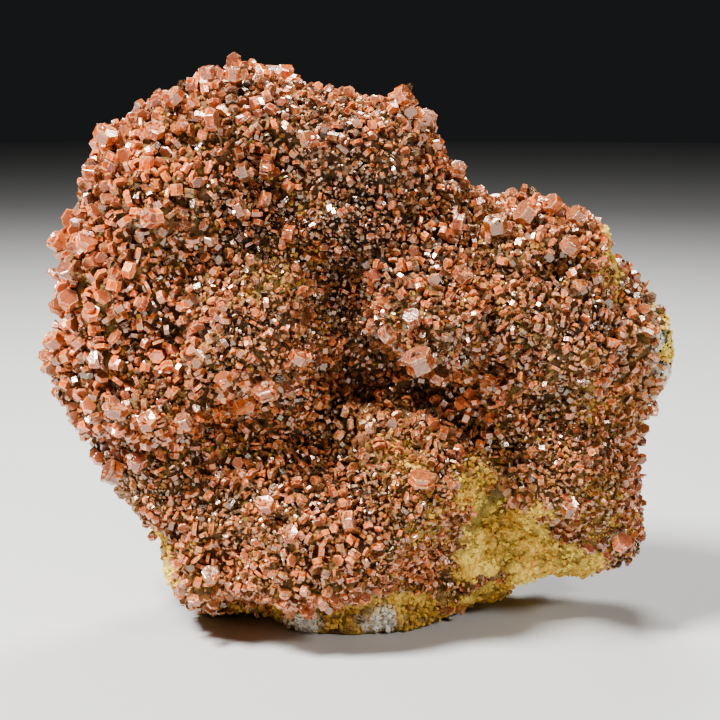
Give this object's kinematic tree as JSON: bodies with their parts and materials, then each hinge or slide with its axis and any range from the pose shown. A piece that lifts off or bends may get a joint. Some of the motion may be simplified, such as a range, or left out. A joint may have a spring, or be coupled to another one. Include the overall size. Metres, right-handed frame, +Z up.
{
  "type": "vanadinite on matrix",
  "caption": "Upright mineral specimen: a lump of ochre and black iron-oxide rock crusted with orange-red hexagonal crystals, standing on a flat foot.",
  "frame": {"origin": "middle of the flat foot that the specimen stands on", "axes": "+X to the right of the crystal-covered face, -Y out of that face, +Z up"},
  "size_m": [0.177, 0.0841, 0.1561],
  "materials": {
    "matrix_rock": "rough earthy ochre with black iron and manganese oxide",
    "vanadinite_crust": "small hexagonal crystals, sub-adamantine, red-brown to orange",
    "vanadinite": "polished-looking adamantine crystal faces, translucent orange-red"
  },
  "bodies": {
    "root": {"crystal_belly_1": "vanadinite", "crystal_belly_2": "vanadinite", "crystal_belly_3": "vanadinite", "crystal_belly_4": "vanadinite", "crystal_boss_1": "vanadinite", "crystal_boss_2": "vanadinite", "crystal_boss_3": "vanadinite", "crystal_boss_4": "vanadinite", "crystal_boss_5": "vanadinite", "crystal_boss_6": "vanadinite", "crystal_brow_1": "vanadinite", "crystal_brow_2": "vanadinite", "crystal_brow_3": "vanadinite", "crystal_brow_4": "vanadinite", "crystal_brow_5": "vanadinite", "crystal_brow_6": "vanadinite", "crystal_crown_1": "vanadinite", "crystal_crown_2": "vanadinite", "crystal_crown_3": "vanadinite", "crystal_crown_4": "vanadinite", "crystal_crown_5": "vanadinite", "crystal_crown_6": "vanadinite", "crystal_crust": "vanadinite_crust", "crystal_dome_1": "vanadinite", "crystal_dome_2": "vanadinite", "crystal_dome_3": "vanadinite", "crystal_dome_4": "vanadinite", "crystal_dome_5": "vanadinite", "crystal_dome_6": "vanadinite", "crystal_heel_1": "vanadinite", "crystal_heel_2": "vanadinite", "crystal_knee_1": "vanadinite", "crystal_knuckle_1": "vanadinite", "crystal_knuckle_2": "vanadinite", "crystal_knuckle_3": "vanadinite", "crystal_knuckle_4": "vanadinite", "crystal_knuckle_5": "vanadinite", "crystal_left_edge_1": "vanadinite", "crystal_left_edge_2": "vanadinite", "crystal_left_edge_3": "vanadinite", "crystal_left_edge_4": "vanadinite", "crystal_left_edge_5": "vanadinite", "crystal_left_edge_6": "vanadinite", "crystal_middle_1": "vanadinite", "crystal_middle_2": "vanadinite", "crystal_middle_3": "vanadinite", "crystal_middle_4": "vanadinite", "crystal_middle_5": "vanadinite", "crystal_shoulder_1": "vanadinite", "crystal_shoulder_2": "vanadinite", "crystal_shoulder_3": "vanadinite", "matrix": "matrix_rock"}
  },
  "joints": []
}
